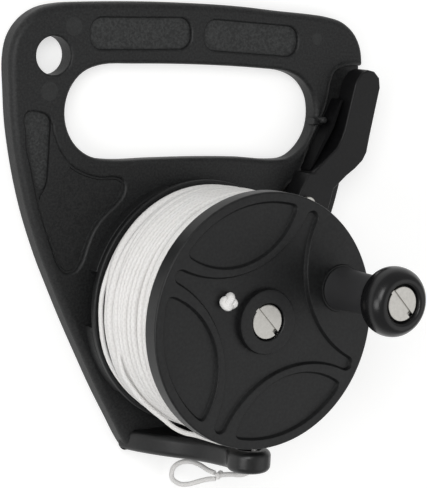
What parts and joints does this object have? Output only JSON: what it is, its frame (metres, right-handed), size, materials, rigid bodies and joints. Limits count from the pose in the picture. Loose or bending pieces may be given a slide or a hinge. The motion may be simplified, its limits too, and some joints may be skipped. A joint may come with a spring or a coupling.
{
  "type": "handheld line reel",
  "caption": "Handheld line reel with a flanged drum of white cord, winding knob, thumb brake lever, grip opening and line guide.",
  "frame": {"origin": "on the flat back of the handle plate, where the drum's axis meets it", "axes": "+Z along the drum's axis towards the knob, +Y towards the grip, +X towards the thumb lever's side"},
  "size_m": [0.1698, 0.1996, 0.1052],
  "materials": {
    "frame_nylon": "textured black glass-filled nylon",
    "drum_plastic": "satin black moulded plastic",
    "lever_plastic": "smooth black moulded plastic",
    "knob_gloss": "polished black plastic",
    "screw_steel": "turned stainless steel",
    "sleeve_steel": "ground stainless steel",
    "insert_brass": "turned brass",
    "washer_nylon": "natural nylon",
    "line_white": "braided white cord"
  },
  "bodies": {
    "reel_frame": {"frame": "frame_nylon", "axle_insert": "insert_brass", "axle_screw": "screw_steel", "axle_sleeve": "sleeve_steel", "axle_washer_rear": "washer_nylon", "axle_washer_front": "screw_steel", "lever_insert": "insert_brass", "lever_screw": "screw_steel", "line_lead": "line_white", "line_end_knot": "line_white", "line_end_loop": "line_white"},
    "drum": {"drum_rear_half": "drum_plastic", "drum_front_flange": "drum_plastic", "knob_insert": "insert_brass", "knob_sleeve": "sleeve_steel", "knob_washer": "washer_nylon", "knob_screw": "screw_steel", "line_core": "line_white", "line_winding": "line_white", "line_anchor_knot": "line_white"},
    "knob": {"knob": "knob_gloss"},
    "lever": {"thumb_lever": "lever_plastic", "lever_leaf": "lever_plastic"}
  },
  "joints": [
    {"name": "drum_spin", "type": "hinge", "parent": "reel_frame", "child": "drum", "pos_m": [0, 0, 0.04], "axis": [0, 0, 1], "continuous": true},
    {"name": "knob_spin", "type": "hinge", "parent": "drum", "child": "knob", "pos_m": [0.03457, 0.0117, 0.08], "axis": [0, 0, 1], "continuous": true},
    {"name": "lever_pivot", "type": "hinge", "parent": "reel_frame", "child": "lever", "pos_m": [0.0488, 0.0394, 0.014], "axis": [0, 0, 1], "range_deg": [0, 3.2], "stiffness_Nm_per_rad": 1.5, "deforming": ["lever_leaf"]}
  ]
}
